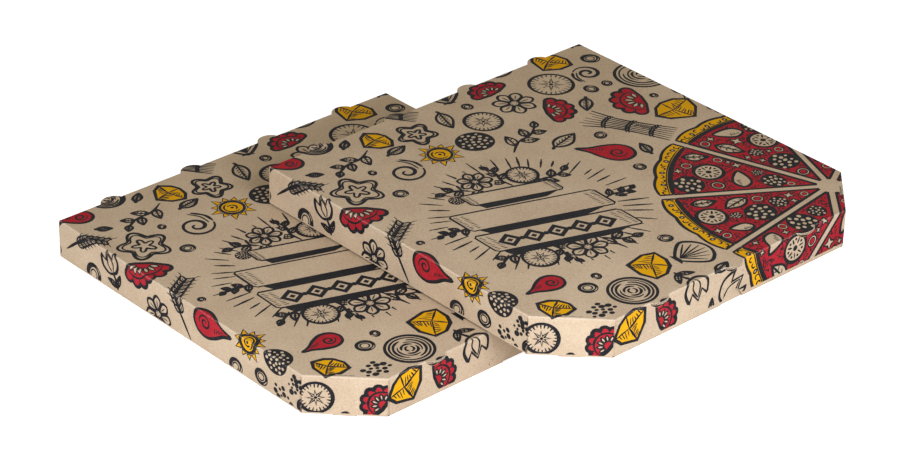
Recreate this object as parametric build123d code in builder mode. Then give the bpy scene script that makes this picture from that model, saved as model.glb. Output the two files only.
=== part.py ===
from build123d import *
from math import sqrt
import os

# Two folded carrier boxes of thin corrugated board, one resting on the other.
# Origin: centre of the lower box's base, on the ground. Front is -Y, a lid folds up about the back (+Y).

box_width = 350.0          # outside of the lid, left to right
box_depth = 350.0          # outside of the lid, front to back
box_height = 35.0          # ground to the top of the lid
corner_cut = 45.5          # how far each front corner is cut back along both sides
board = 1.5                # thickness of the corrugated board
ply_gap = 0.15             # between two layers that are folded onto each other
lid_gap = 0.5              # play between the tray's walls and the lid's walls
rest_gap = 0.1             # between the top edges of the tray's walls and the lid's underside
hem = 2.0                  # the lid's walls end this far above the tray's underside
fold_radius = 1.4          # outside radius of a creased fold
back_seam = 0.6            # open line between the tray's side walls and its back wall
back_flap = 30.0           # flap of a side wall, folded in behind the back wall

upper_shift_x = 146.0      # the upper box lies this far to the right
upper_shift_y = -89.0      # and this far to the front

tongue_width = 20.0        # half-round tongues that stay in the lid's plane at a fold
tongue_reach = 6.0         # how far the back ones stand out past the fold
tongue_play = 0.4          # clearance round a tongue where it swings through the back wall
hood_reach = 4.4           # how far the front ones stand out, as hoods over the vents
vent_depth = 6.5           # from the top of the lid down to the bottom of a vent
tongue_pitch = 82.0        # spacing of the three front vents, and of the four tongues at the back
hinge_gap = 0.3            # between the lid's rounded back edge and the back wall

ear_length = 21.0          # ends of the side and front walls, tucked in behind a corner wall
roll_width = 18.0          # strip that rolls round the free edge of a corner wall
roll_drop = 1.7            # how far that strip stands out past the edge
roll_setback = 0.4         # its face lies this far behind the wall's face
roll_radius = 1.0          # outside radius of its two bends
inner_width = 44.0         # panel behind the ears, which clamps them
lock_width = 14.0          # tip of that panel, pushed through a slit in the fold
lock_slope = 7.0           # height over which the tip leans out to its slit
lock_play = 0.3            # clearance at each end of the slit

notch_width = 24.0         # finger notch in the lower edge of the lid's front wall
notch_height = 9.5

# Values that follow from the ones above.
half_width = box_width / 2
half_depth = box_depth / 2
tray_inset = board + lid_gap
lid_under = box_height - board
wall_top = lid_under - rest_gap
axis_y = half_depth - board / 2
axis_z = box_height - board / 2
ear_face = board + ply_gap             # depths behind the outer face of a corner wall
inner_face = 2 * ear_face
lock_depth = inner_face + board
past = 2 * lock_depth                  # cutters run this far past a face


def arc_radius(chord, rise):
    return (chord * chord / 4 + rise * rise) / (2 * rise)


tongue_radius = arc_radius(tongue_width, tongue_reach)
tongue_inset = tongue_radius - tongue_reach      # from the fold back to the centre of the arc
hood_radius = arc_radius(tongue_width, hood_reach)
hood_inset = hood_radius - hood_reach
vent_radius = arc_radius(tongue_width, vent_depth)
vent_centre = box_height + vent_radius - vent_depth
notch_radius = arc_radius(notch_width, notch_height)
vent_spots = [tongue_pitch * step for step in (-1, 0, 1)]
back_spots = [tongue_pitch * step for step in (-1.5, -0.5, 0.5, 1.5)]


# Plan of a box, square at the back, with the front corners cut at 45 degrees.
# The cut corners move in by a distance of their own.
def outline(inset, corner_inset, back_y):
    x = half_width - inset
    y = half_depth - inset
    cut = corner_cut + corner_inset * sqrt(2) - 2 * inset
    return [
        (-x, back_y),
        (-x, -y + cut),
        (-x + cut, -y),
        (x - cut, -y),
        (x, -y + cut),
        (x, back_y),
    ]


def slab(points, low, high, how):
    with BuildSketch(Plane.XY.offset(low)) as plan:
        with BuildLine():
            Polyline(*points, close=True)
        make_face()
    extrude(plan.sketch, amount=high - low, mode=how)


# Edges of a block's outside at one height; the back edge can be left out.
def fold_edges(block, z, with_back):
    found = []
    for edge in block.edges():
        middle = edge @ 0.5
        if abs(middle.Z - z) < board / 10 and (with_back or middle.Y < half_depth - board / 10):
            found.append(edge)
    return found


# Half-round shapes in a row, as a sketch that is extruded along its plane's normal.
def rounds(plane, spots, centre, radius, depth, how):
    with BuildSketch(plane) as row:
        with Locations(*[(x, centre) for x in spots]):
            Circle(radius)
    extrude(row.sketch, amount=depth, mode=how)


# A section drawn across a corner wall, as deep and as high as given, widened along the wall.
def widen(plane, points, width, how):
    with BuildSketch(plane) as section:
        with BuildLine():
            Polyline(*points, close=True)
        make_face()
    extrude(section.sketch, amount=width / 2, both=True, mode=how)


def block_points(near, far, start, end):
    return [(near, start), (far, start), (far, end), (near, end)]


# Upright plane through the middle of a cut corner's wall: its first direction runs inward from the
# outer face, its second is up, and its normal runs along the wall. Side is -1 for left, 1 for right.
def corner_plane(points, side):
    x = side * abs(points[1][0] + points[2][0]) / 2
    y = (points[1][1] + points[2][1]) / 2
    return Plane(origin=(x, y, 0), x_dir=(-side, 1, 0), z_dir=(1, side, 0))


def corner_length(points):
    return sqrt(2) * (points[2][0] - points[1][0])


# One cut corner, where the wall folded down from the panel is rolled round the tucked-in ends
# of its neighbours and its tip is pushed back through the panel.
# Fold is the height of the panel's outer face, edge that of the corner wall's free edge.
def lock_corner(plane, wall_length, fold, edge):
    away = 1 if edge > fold else -1
    panel = fold + away * board
    under = panel + away * ply_gap
    tip = edge + away * roll_drop
    tip_inside = tip - away * board
    beyond = edge + away * past

    # The corner wall is cut free behind and at both ends.
    widen(plane, block_points(board, ear_face, panel, beyond), wall_length + past, Mode.SUBTRACT)
    for way in (-1, 1):
        end_plane = plane.offset(way * (wall_length + past) / 2)
        widen(end_plane, block_points(-board, ear_face, panel, beyond), past, Mode.SUBTRACT)

    # Ends of the two neighbouring walls, turned in behind it.
    ear = block_points(ear_face, inner_face - ply_gap, under, edge)
    ear_width = ear_length + ear_face
    for way in (-1, 1):
        ear_plane = plane.offset(way * (wall_length / 2 + ear_face - ear_width / 2))
        widen(ear_plane, ear, ear_width, Mode.ADD)

    # Strip rolled round the free edge.
    with BuildSketch(plane) as roll:
        with BuildLine():
            Polyline(
                (roll_setback, edge - away * board),
                (roll_setback, tip),
                (lock_depth, tip),
                (lock_depth, edge - away * board),
                (inner_face, edge - away * board),
                (inner_face, tip_inside),
                (board, tip_inside),
                (board, edge - away * board),
                close=True,
            )
        make_face()
        fillet([v for v in roll.vertices() if abs(v.Y - tip) < ply_gap], roll_radius)
    extrude(roll.sketch, amount=roll_width / 2, both=True)

    # Inner panel, with its tip leaning out and through the slit.
    bend = panel + away * lock_slope
    widen(plane, block_points(inner_face, lock_depth, under, edge), inner_width, Mode.ADD)
    widen(plane, block_points(inner_face, lock_depth, under, bend), lock_width + 2 * lock_play, Mode.SUBTRACT)
    slit = block_points(board, inner_face, fold - away * past, panel)
    widen(plane, slit, lock_width + 2 * lock_play, Mode.SUBTRACT)
    tongue = [
        (inner_face, bend + away * board),
        (lock_depth, bend + away * board),
        (lock_depth, bend),
        (inner_face - ply_gap, under),
        (inner_face - ply_gap, fold),
        (ear_face, fold),
        (ear_face, under),
        (inner_face, bend),
    ]
    widen(plane, tongue, lock_width, Mode.ADD)


def make_lid():
    outer = outline(0, 0, half_depth)
    with BuildPart() as lid:
        # Block with rounded folds, hollow, open below and at the back.
        slab(outer, hem, box_height, Mode.ADD)
        fillet(fold_edges(lid, box_height, False), fold_radius)
        slab(outline(board, board, half_depth + past), hem - past, lid_under, Mode.SUBTRACT)

        # Rounded back edge of the top panel, about which the lid turns.
        with BuildSketch(Plane.YZ.offset(board - half_width)):
            with Locations((axis_y, axis_z)):
                Rectangle(past, past, align=(Align.MIN, Align.CENTER))
                Circle(board / 2, mode=Mode.SUBTRACT)
        extrude(amount=box_width - 2 * board, mode=Mode.SUBTRACT)

        # Vents through the front wall, each where its tongue was cut out.
        wall_plane = Plane.XZ.offset(half_depth - past)
        rounds(wall_plane, vent_spots, vent_centre, vent_radius, 2 * past, Mode.SUBTRACT)

        # Half-round tongues in the lid's plane, over the vents and at the back fold.
        top_plane = Plane.XY.offset(lid_under)
        rounds(top_plane, vent_spots, hood_inset - half_depth, hood_radius, board, Mode.ADD)
        rounds(top_plane, back_spots, half_depth - tongue_inset, tongue_radius, board, Mode.ADD)

        # Finger notch.
        rounds(wall_plane, [0], hem + notch_height - notch_radius, notch_radius, 2 * past, Mode.SUBTRACT)

        for side in (-1, 1):
            lock_corner(corner_plane(outer, side), corner_length(outer), box_height, hem)
    return lid


def make_tray():
    corner_inset = lock_depth + lid_gap
    outer = outline(tray_inset, corner_inset, half_depth)
    inner = outline(tray_inset + board, corner_inset + board, half_depth - board)
    with BuildPart() as tray:
        # Base and walls folded up from it.
        slab(outer, 0, wall_top, Mode.ADD)
        fillet(fold_edges(tray, 0, True), fold_radius)
        slab(inner, board, box_height, Mode.SUBTRACT)

        # Side and back walls are parted, and the side walls' flaps turn in behind the back wall.
        inside_x = half_width - tray_inset - board
        inside_y = half_depth - board
        for side in (-1, 1):
            with Locations((side * inside_x, inside_y, board)):
                Box(
                    past,
                    back_seam,
                    box_height,
                    align=(Align.CENTER, Align.MAX, Align.MIN),
                    mode=Mode.SUBTRACT,
                )
            with Locations((side * (inside_x + board / 2), inside_y - back_seam, board + ply_gap)):
                Box(
                    back_flap,
                    board,
                    wall_top - hinge_gap - board - ply_gap,
                    align=(Align.MAX if side > 0 else Align.MIN, Align.MAX, Align.MIN),
                )

        # The back wall stops under the lid's rounded edge.
        with Locations((0, inside_y - back_seam, lid_under - hinge_gap)):
            Box(box_width, past, past, align=(Align.CENTER, Align.MIN, Align.MIN), mode=Mode.SUBTRACT)

        # The same vents through the front wall, in line with the lid's.
        front_plane = Plane.XZ.offset(half_depth - past)
        rounds(front_plane, vent_spots, vent_centre, vent_radius, 2 * past, Mode.SUBTRACT)

        # Half-moon holes that the lid's back tongues swing through.
        back_plane = Plane.XZ.offset(-half_depth - past)
        hole_centre = axis_z + tongue_inset - board / 2
        hole_radius = tongue_radius + tongue_play
        rounds(back_plane, back_spots, hole_centre, hole_radius, past + board, Mode.SUBTRACT)

        # The corner walls are lower, so that the rolled strips end level with the other walls.
        corner_top = wall_top - roll_drop
        length = corner_length(outer)
        for side in (-1, 1):
            plane = corner_plane(outer, side)
            widen(plane, block_points(-board, board, corner_top, box_height), length, Mode.SUBTRACT)
            lock_corner(plane, length, 0, corner_top)
    return tray


# A whole closed box: tray and lid, joined by the back fold alone.
def make_box(tray, lid):
    with BuildPart() as box:
        add(tray.part)
        add(lid.part)
        with BuildSketch(Plane.XZ.offset(-half_depth)):
            with Locations((0, axis_z)):
                Rectangle(
                    2 * (half_width - tray_inset),
                    board + hinge_gap,
                    align=(Align.CENTER, Align.MAX),
                )
            with Locations(*[(x, axis_z + tongue_inset - board / 2) for x in back_spots]):
                Circle(tongue_radius + tongue_play, mode=Mode.SUBTRACT)
        extrude(amount=board)
    return box


tray = make_tray()
lid = make_lid()
upper_place = Location((upper_shift_x, upper_shift_y, box_height))

lower_box = make_box(tray, lid)
with BuildPart() as upper_tray:
    add(tray.part.moved(upper_place))
with BuildPart() as upper_lid:
    add(lid.part.moved(upper_place))

os.makedirs("parts", exist_ok=True)

lower_box.part.label = "lower_box"
export_step(lower_box.part, "parts/lower_box.step")
upper_tray.part.label = "upper_tray"
export_step(upper_tray.part, "parts/upper_tray.step")
upper_lid.part.label = "upper_lid"
export_step(upper_lid.part, "parts/upper_lid.step")
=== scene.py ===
import math
import random
import bpy
from mathutils import Matrix, Vector
from mathutils.geometry import delaunay_2d_cdt


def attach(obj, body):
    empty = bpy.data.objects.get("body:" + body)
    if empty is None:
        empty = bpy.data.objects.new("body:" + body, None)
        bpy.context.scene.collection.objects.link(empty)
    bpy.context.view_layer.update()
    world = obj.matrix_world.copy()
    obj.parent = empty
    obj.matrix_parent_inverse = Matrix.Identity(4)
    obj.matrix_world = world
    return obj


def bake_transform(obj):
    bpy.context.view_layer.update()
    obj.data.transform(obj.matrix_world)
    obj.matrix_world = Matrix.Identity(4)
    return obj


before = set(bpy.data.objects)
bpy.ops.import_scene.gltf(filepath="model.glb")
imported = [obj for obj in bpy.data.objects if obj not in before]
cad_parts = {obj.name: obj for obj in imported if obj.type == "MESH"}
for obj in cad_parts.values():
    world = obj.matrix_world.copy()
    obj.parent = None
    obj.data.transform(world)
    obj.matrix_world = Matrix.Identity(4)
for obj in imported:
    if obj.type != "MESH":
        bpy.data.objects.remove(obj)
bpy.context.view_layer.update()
print("stage: frame loaded")

# Sizes are in millimetres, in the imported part's own frame, and become metres when a mesh is made.
box = {
    "width": 350.0,
    "depth": 350.0,
    "height": 35.0,
    "cornerCut": 45.5,
    "board": 1.5,
    "foldRadius": 1.4,
    "hem": 2.0,                # the lid's walls end this far above the ground
    "trayInset": 2.0,
    "trayTop": 33.4,           # top edges of the tray's walls
    "tonguePitch": 82.0,
    "tongueRadius": 11.333,    # half-round tongues at the back fold
    "tongueInset": 5.333,
    "tonguePlay": 0.4,
    "hoodRadius": 13.564,      # half-round tongues over the front vents
    "hoodInset": 9.164,
    "ventRadius": 10.942,
    "ventCentre": 39.442,
    "slitWidth": 14.6,
    "slitNear": 1.5,           # depth of the slit behind the outer face of the corner wall
    "slitFar": 3.3,
    "tipWidth": 14.0,
    "rollWidth": 18.0,
    "rollDrop": 1.7,
    "lockDepth": 4.8,
    "lidGap": 0.5,             # play between the tray's walls and the lid's
    "notchRadius": 12.329,
    "notchCentre": -0.829,
}
lowerPlace = (0.0, 0.0, 0.0)
upperPlace = (146.0, -89.0, 35.0)
halfWidth = box["width"] / 2
halfDepth = box["depth"] / 2
halfBoard = box["board"] / 2
fold = box["foldRadius"]
vents = [box["tonguePitch"] * step for step in (-1, 0, 1)]
backTongues = [box["tonguePitch"] * step for step in (-1.5, -0.5, 0.5, 1.5)]
hingeY = halfDepth - halfBoard
hingeZ = box["height"] - halfBoard
quarter = math.pi / 2


def metres(point, place=(0, 0, 0)):
    return tuple((value + shift) / 1000 for value, shift in zip(point, place))


def linear(hexColour):
    channels = [int(hexColour[i:i + 2], 16) / 255 for i in (1, 3, 5)]
    return tuple(c / 12.92 if c <= 0.04045 else ((c + 0.055) / 1.055) ** 2.4 for c in channels) + (1.0,)


def addNode(tree, kind, links=None, **settings):
    node = tree.nodes.new(kind)
    for key, value in settings.items():
        setattr(node, key, value)
    for socket, value in (links or {}).items():
        if isinstance(value, bpy.types.Node):
            value = value.outputs[0]
        if isinstance(value, bpy.types.NodeSocket):
            tree.links.new(value, node.inputs[socket])
        else:
            node.inputs[socket].default_value = value
    return node


def newMaterial(name):
    material = bpy.data.materials.new(name)
    material.use_nodes = True
    material.node_tree.nodes.clear()
    return material, material.node_tree


kraft = {
    "deep": "#B79D7A",         # unbleached brown paper, where the pulp is thick
    "light": "#C0A783",
    "pale": "#D8C5A4",         # light fibres
    "dark": "#84683F",         # dark flecks of recycled fibre
    "paleCreaseAndHighlight": "#DDCDB2",       # paper stretched over a fold, paler, and partly a painted highlight
    "paleCreaseAndHighlightShow": 0.25,
    "fibreMm": 0.9,
    "cloudMm": 38.0,
    "flutePitchMm": 3.3,       # thin corrugated board has about 90 flutes to 300 mm
    "fluteShow": 0.12,
    "relief": (0.12, 0.55),    # depth of the bump in millimetres, and its strength
    "rough": (0.78, 0.94),
    "specular": 0.25,
}


# The fibres of the paper, shared by the bare liner and the ink that soaks into it.
def addGrain(tree):
    place = addNode(tree, "ShaderNodeTexCoord").outputs["Object"]
    return place, addNode(tree, "ShaderNodeTexNoise", {
        "Vector": place, "Scale": 1000 / kraft["fibreMm"], "Detail": 3.0, "Roughness": 0.65,
    })


# How sharply the face leans between level and upright: it is one at the middle of a rounded fold.
def addLean(tree):
    normal = addNode(tree, "ShaderNodeNewGeometry").outputs["Normal"]
    parts = addNode(tree, "ShaderNodeSeparateXYZ", {0: normal})
    rise = addNode(tree, "ShaderNodeMath", {0: parts.outputs[2], 1: parts.outputs[2]}, operation="MULTIPLY")
    rest = addNode(tree, "ShaderNodeMath", {0: 1.0, 1: rise}, operation="SUBTRACT")
    both = addNode(tree, "ShaderNodeMath", {0: rise, 1: rest}, operation="MULTIPLY")
    lean = addNode(tree, "ShaderNodeMapRange", {"Value": both, "From Min": 0.03, "From Max": 0.2})
    return parts, lean


# How paper and ink end: tints laid over the colour by their shares, the relief and the shader.
# Where there is grain, the roughness follows it.
def finishPaper(tree, look, colour, tints, height, grain=None):
    for share, tint in tints:
        colour = addNode(tree, "ShaderNodeMix", {
            0: share, 6: colour.outputs[2], 7: linear(kraft[tint]),
        }, data_type="RGBA")
    depth, strength = look["relief"]
    bump = addNode(tree, "ShaderNodeBump", {"Height": height, "Distance": depth / 1000, "Strength": strength})
    rough = look["rough"]
    if grain:
        rough = addNode(tree, "ShaderNodeMapRange", {"Value": grain, "To Min": rough[0], "To Max": rough[1]})
    shader = addNode(tree, "ShaderNodeBsdfPrincipled", {
        "Base Color": colour.outputs[2], "Roughness": rough, "Normal": bump,
        "Specular IOR Level": look["specular"],
    })
    addNode(tree, "ShaderNodeOutputMaterial", {"Surface": shader})


# Kraft liner on thin corrugated board, pressed and creased: a matt brown sheet with short pale and
# dark fibres, faint stripes where the flutes press through, and a paler line along each fold, which is
# partly stretched paper and partly a painted highlight.
def makeKraft():
    material, tree = newMaterial("kraftLinerboard")
    place, grain = addGrain(tree)
    parts, lean = addLean(tree)
    clouds = addNode(tree, "ShaderNodeTexNoise", {
        "Vector": place, "Scale": 1000 / kraft["cloudMm"], "Detail": 3.0,
    })
    patchy = addNode(tree, "ShaderNodeMapRange", {"Value": clouds, "From Min": 0.35, "From Max": 0.65})
    colour = addNode(tree, "ShaderNodeMix", {
        0: patchy, 6: linear(kraft["deep"]), 7: linear(kraft["light"]),
    }, data_type="RGBA")
    tints = []
    for stretch, turn, low, high, share, tint in (
        ((1.0, 0.4, 1.0), 0.5, 0.55, 0.72, 0.4, "pale"),
        ((0.4, 1.0, 1.0), 0.2, 0.57, 0.76, 0.5, "dark"),
    ):
        drawn = addNode(tree, "ShaderNodeMapping", {
            "Vector": place, "Scale": stretch, "Rotation": (0, 0, turn),
        })
        fibres = addNode(tree, "ShaderNodeTexNoise", {
            "Vector": drawn, "Scale": 1000 / kraft["fibreMm"], "Detail": 1.0,
        })
        tints.append((addNode(tree, "ShaderNodeMapRange", {
            "Value": fibres, "From Min": low, "From Max": high, "To Max": share,
        }), tint))
    specks = addNode(tree, "ShaderNodeMapRange", {
        "Value": grain, "From Min": 0.55, "From Max": 0.8, "To Max": 0.45,
    })
    # The paler line along each fold's bend: partly stretched paper, partly a painted highlight.
    line = addNode(tree, "ShaderNodeMath", {0: lean, 1: kraft["paleCreaseAndHighlightShow"]}, operation="MULTIPLY")
    # The flutes run from front to back on the panels and the side walls, and up the front wall.
    at = addNode(tree, "ShaderNodeSeparateXYZ", {0: place})
    sideways = addNode(tree, "ShaderNodeMath", {0: parts.outputs[0]}, operation="ABSOLUTE")
    raised = addNode(tree, "ShaderNodeMath", {0: at.outputs[2], 1: sideways}, operation="MULTIPLY")
    across = addNode(tree, "ShaderNodeMath", {0: at.outputs[0], 1: raised}, operation="ADD")
    phase = addNode(tree, "ShaderNodeMath", {
        0: across, 1: 2 * math.pi * 1000 / kraft["flutePitchMm"],
    }, operation="MULTIPLY")
    flutes = addNode(tree, "ShaderNodeMath", {0: phase}, operation="SINE")
    shown = addNode(tree, "ShaderNodeMath", {0: flutes, 1: kraft["fluteShow"]}, operation="MULTIPLY")
    height = addNode(tree, "ShaderNodeMath", {0: shown, 1: grain}, operation="ADD")
    finishPaper(tree, kraft, colour, tints + [(specks, "pale"), (line, "paleCreaseAndHighlight")], height, grain)
    return material


inkLook = {
    "cloudMm": 9.0,            # size of the uneven patches that the roller leaves
    "torn": 0.16,              # how much of the ink is lost along a fold
    "relief": (0.1, 0.4),
    "rough": (0.7, 0.86),
    "specular": 0.12,
}


# Water-based flexo ink, rolled on and soaked in: matt, with the paper's grain showing through as
# small thin spots, and cracked to bare paper along the folds, where the fold's pale colour is partly a
# painted highlight.
def makeInk(name, body, thin, paperShow):
    material, tree = newMaterial(name)
    place, grain = addGrain(tree)
    lean = addLean(tree)[1]
    cloud = addNode(tree, "ShaderNodeTexNoise", {
        "Vector": place, "Scale": 1000 / inkLook["cloudMm"], "Detail": 2.0,
    })
    uneven = addNode(tree, "ShaderNodeMapRange", {"Value": cloud, "From Min": 0.3, "From Max": 0.7})
    colour = addNode(tree, "ShaderNodeMix", {0: uneven, 6: linear(body), 7: linear(thin)}, data_type="RGBA")
    spots = addNode(tree, "ShaderNodeMapRange", {
        "Value": grain, "From Min": 0.52, "From Max": 0.78, "To Max": paperShow,
    })
    torn = addNode(tree, "ShaderNodeMapRange", {
        "Value": grain, "From Min": 0.4, "From Max": 0.6, "To Max": inkLook["torn"],
    })
    # Bare paper along a fold takes the fold's pale colour, which is partly a painted highlight.
    cracks = addNode(tree, "ShaderNodeMath", {0: lean, 1: torn}, operation="MULTIPLY")
    finishPaper(tree, inkLook, colour, [(spots, "light"), (cracks, "paleCreaseAndHighlight")], grain, grain)
    return material


cutLook = {"relief": (0.1, 0.5), "rough": 0.85, "specular": 0.2}


# The cut edge of the board: clean fibre where the knife went through, paler than the pressed faces,
# and the deep brown shade inside the flutes.
def makeCutEdge(name, light, shade):
    material, tree = newMaterial(name)
    grain = addGrain(tree)[1]
    mixed = addNode(tree, "ShaderNodeMapRange", {"Value": grain, "From Min": 0.35, "From Max": 0.65})
    colour = addNode(tree, "ShaderNodeMix", {0: mixed, 6: linear(light), 7: linear(shade)}, data_type="RGBA")
    finishPaper(tree, cutLook, colour, [], grain)
    return material


kraftBoard = makeKraft()
inks = {
    "black": makeInk("blackFlexoInk", "#131315", "#1E1D1D", 0.1),
    "red": makeInk("redFlexoInk", "#9C1620", "#AA1F27", 0.1),
    "mustard": makeInk("mustardFlexoInk", "#D29600", "#DA9E00", 0.05),
}
cutPaper = makeCutEdge("cutBoardEdge", "#D6C4A4", "#B9A07A")
fluteShade = makeCutEdge("fluteShadow", "#2F2317", "#413122")
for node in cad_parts.values():
    for slot in node.material_slots:
        slot.material = kraftBoard
print("stage: materials ready")


# The print is drawn with a pen on the flat blank, in millimetres. A motif is a list of fields, each
# an ink and its corners, in painting order; "bare" knocks a hole in what lies under it.
chance = random.Random(41)
pen = {"x": 0.0, "y": 0.0, "turn": 0.0, "weight": 2.05}
drawing = []
leastArea = 0.002              # a field that is smaller, in square millimetres, is left out
goldenAngle = 2.4              # from each dot of a round to the next, so that they fill it evenly


def bounds2d(points):
    xs, ys = [p[0] for p in points], [p[1] for p in points]
    return min(xs), min(ys), max(xs), max(ys)


def areaOf(corners):
    return sum(a[0] * b[1] - b[0] * a[1] for a, b in zip(corners, corners[1:] + corners[:1])) / 2


def onPage(point):
    c, s = math.cos(pen["turn"]), math.sin(pen["turn"])
    x, y = point
    return (pen["x"] + c * x - s * y, pen["y"] + s * x + c * y)


def field(ink, corners):
    corners = [onPage(p) for p in corners]
    area = areaOf(corners)
    if abs(area) > leastArea:
        drawing.append((ink, corners if area > 0 else corners[::-1]))


# Moves and turns the pen, and gives what it was, to be put back after the drawing.
def held(x, y, turn=0.0):
    kept = dict(pen)
    pen["x"], pen["y"] = onPage((x, y))
    pen["turn"] += math.radians(turn)
    return kept


def polar(reach, turn, squash=1.0):
    return (reach * math.cos(turn), reach * math.sin(turn) * squash)


# Points that are given as shares of a motif's size.
def scaled(points, wide, tall=None):
    tall = wide if tall is None else tall
    return [(wide * x, tall * y) for x, y in points]


def arc(x, y, radius, start=0.0, sweep=360.0, squash=1.0, count=None):
    count = count or max(8, int(abs(sweep) / 360 * (14 + radius * 1.6)))
    steps = count if sweep >= 360 else count - 1
    found = []
    for i in range(count):
        px, py = polar(radius, math.radians(start + sweep * i / steps), squash)
        found.append((x + px, y + py))
    return found


# A rounded line through the points.
def smooth(points, closed=False, parts=5):
    found = []
    count = len(points)
    for i in range(count if closed else count - 1):
        if closed:
            near = [points[(i + k) % count] for k in (-1, 0, 1, 2)]
        else:
            near = [points[min(max(i + k, 0), count - 1)] for k in (-1, 0, 1, 2)]
        for part in range(parts):
            t = part / parts
            spot = []
            for p, q, r, s in zip(*near):
                bend = 2 * p - 5 * q + 4 * r - s
                twist = 3 * q - p - 3 * r + s
                spot.append(0.5 * (2 * q + (r - p) * t + bend * t * t + twist * t ** 3))
            found.append(tuple(spot))
    return found if closed else found + [points[-1]]


# A pen stroke whose width swells and tapers a little, as by hand.
def brush(points, width=1.3, closed=False, tips=0.45, ink="black", at=(0.0, 0.0)):
    points = [(x + at[0], y + at[1]) for x, y in points]
    count = len(points)
    beat = chance.uniform(0, 6.28)
    left, right = [], []
    for i, (x, y) in enumerate(points):
        before = points[i - 1] if closed or i else points[i]
        after = points[(i + 1) % count] if closed or i < count - 1 else points[i]
        dx, dy = after[0] - before[0], after[1] - before[1]
        run = math.hypot(dx, dy) or 1.0
        part = i / (count if closed else max(count - 1, 1))
        wide = width * pen["weight"] * (1 + 0.14 * math.sin(4 * math.pi * part + beat)) / 2
        if not closed:
            wide *= tips + (1 - tips) * min(1.0, 5 * part, 5 * (1 - part))
        left.append((x - dy / run * wide, y + dx / run * wide))
        right.append((x + dy / run * wide, y - dx / run * wide))
    for i in range(count if closed else count - 1):
        j = (i + 1) % count
        field(ink, [right[i], right[j], left[j]])
        field(ink, [right[i], left[j], left[i]])


def outline(corners, width=1.3, ink=None):
    if ink:
        field(ink, corners)
    brush(corners, width, closed=True)


# Short strokes in a row between two lines, for shade.
def rungs(corners, count, width=0.6):
    startA, startB, endA, endB = corners
    for i in range(count):
        t = (i + 0.5) / count
        a = [p + (q - p) * t for p, q in zip(startA, startB)]
        b = [p + (q - p) * t for p, q in zip(endA, endB)]
        b = [p + (q - p) * chance.uniform(0.6, 1.0) for p, q in zip(a, b)]
        brush([a, [(p + q) / 2 for p, q in zip(a, b)], b], width, tips=0.5)


def leafVeins(length, width, line=1.25, veins=5, ink=None):
    side = smooth(scaled([(0, 0), (0.22, 0.42), (0.55, 0.5), (1, 0.12)], length, width))
    back = smooth(scaled([(1, 0.12), (0.6, -0.44), (0.25, -0.4), (0, 0)], length, width))
    outline(side + back[1:-1], line, ink)
    brush(smooth(scaled([(0, 0), (0.5, 0.05), (0.93, 0.1)], length, width)), line * 0.75)
    for i in range(veins):
        x = length * (0.16 + 0.66 * i / veins)
        reach = width * 0.3 * (1 - 0.5 * abs(i / veins - 0.35))
        for way in (1, -0.85):
            middle, end = (x + length * 0.05, way * reach * 0.6), (x + length * 0.11, way * reach)
            brush([(x, width * 0.03), middle, end], line * 0.5)


def leaf(size):
    kept = held(-size, 0)
    leafVeins(size * 2, size * 0.95)
    brush(smooth(scaled([(-0.28, -0.12), (-0.1, -0.02), (0, 0)], size)), 1.5)
    pen.update(kept)


def sprig(size):
    brush(smooth(scaled([(-1, -0.2), (-0.4, 0), (0.2, -0.06), (0.85, 0.16)], size)), 1.2)
    spots = ((-0.62, -0.06, 62), (-0.3, 0, -52), (0.02, -0.03, 50), (0.3, -0.04, -44), (0.62, 0.06, 30))
    for i, (x, y, turn) in enumerate(spots):
        kept = held(x * size, y * size, turn + chance.uniform(-6, 6))
        leafVeins(size * (0.62 - 0.06 * i), size * (0.3 - 0.02 * i), 1.05, 3)
        pen.update(kept)


def wheat(size):
    brush(smooth(scaled([(-1, 0), (0, 0.05), (0.9, 0)], size)), 1.1)
    for i in range(7):
        for way in (-1, 1):
            kept = held(size * (-0.3 + 0.17 * i), way * 0.4, way * 34)
            corn = scaled([(0, 0), (0.1, 0.07), (0.27, 0), (0.1, -0.07)], size)
            outline(smooth(corn, True, 4), 0.9)
            brush(scaled([(0.05, 0), (0.11, 0), (0.17, 0)], size), 0.5)
            brush(scaled([(0.27, 0), (0.36, 0), (0.44, way * 0.03)], size), 0.5)
            pen.update(kept)


def ripple(size):
    brush(arc(0, 0, size), 1.35, True)
    brush(arc(0, 0, size * 0.83), 0.8, True)
    for share, width in ((0.67, 1.1), (0.5, 0.8), (0.35, 1.1), (0.18, 0.9)):
        start = chance.uniform(0, 360)
        brush(arc(0, 0, size * share, start, 155), width)
        brush(arc(0, 0, size * share, start + 180, chance.uniform(120, 165)), width)


def ring(size):
    brush(arc(0, 0, size * 0.84, squash=0.9), size * 0.2, True)
    brush(arc(size * 0.03, 0, size * 0.46, squash=0.88), 0.6, True)
    brush(arc(0, 0, size * 0.86, 115, 50, 0.9), 0.4, ink="bare")


def speckle(size):
    for i in range(14):
        x, y = polar(size * math.sqrt((i + 0.3) / 14), i * goldenAngle, 0.8)
        field("black", arc(x, y, chance.uniform(1.2, 3.0), squash=0.85, count=12))


def droplet(size):
    half = [(-0.8, 0.42), (-0.35, 0.56), (0.15, 0.4), (0.6, 0.14)]
    edge = [(-1, 0)] + half + [(1.05, 0)] + [(x, -y) for x, y in reversed(half)]
    outline(smooth(scaled(edge, size), True, 4), 1.35, "red")
    kept = held(-size * 0.4, 0)
    brush([polar(size * (0.05 + 0.012 * i), 0.42 * i) for i in range(24)], 0.9)
    pen.update(kept)
    rungs(scaled([(0.06, -0.25), (0.6, -0.05), (0.12, 0.1), (0.6, 0.06)], size), 5)


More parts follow.
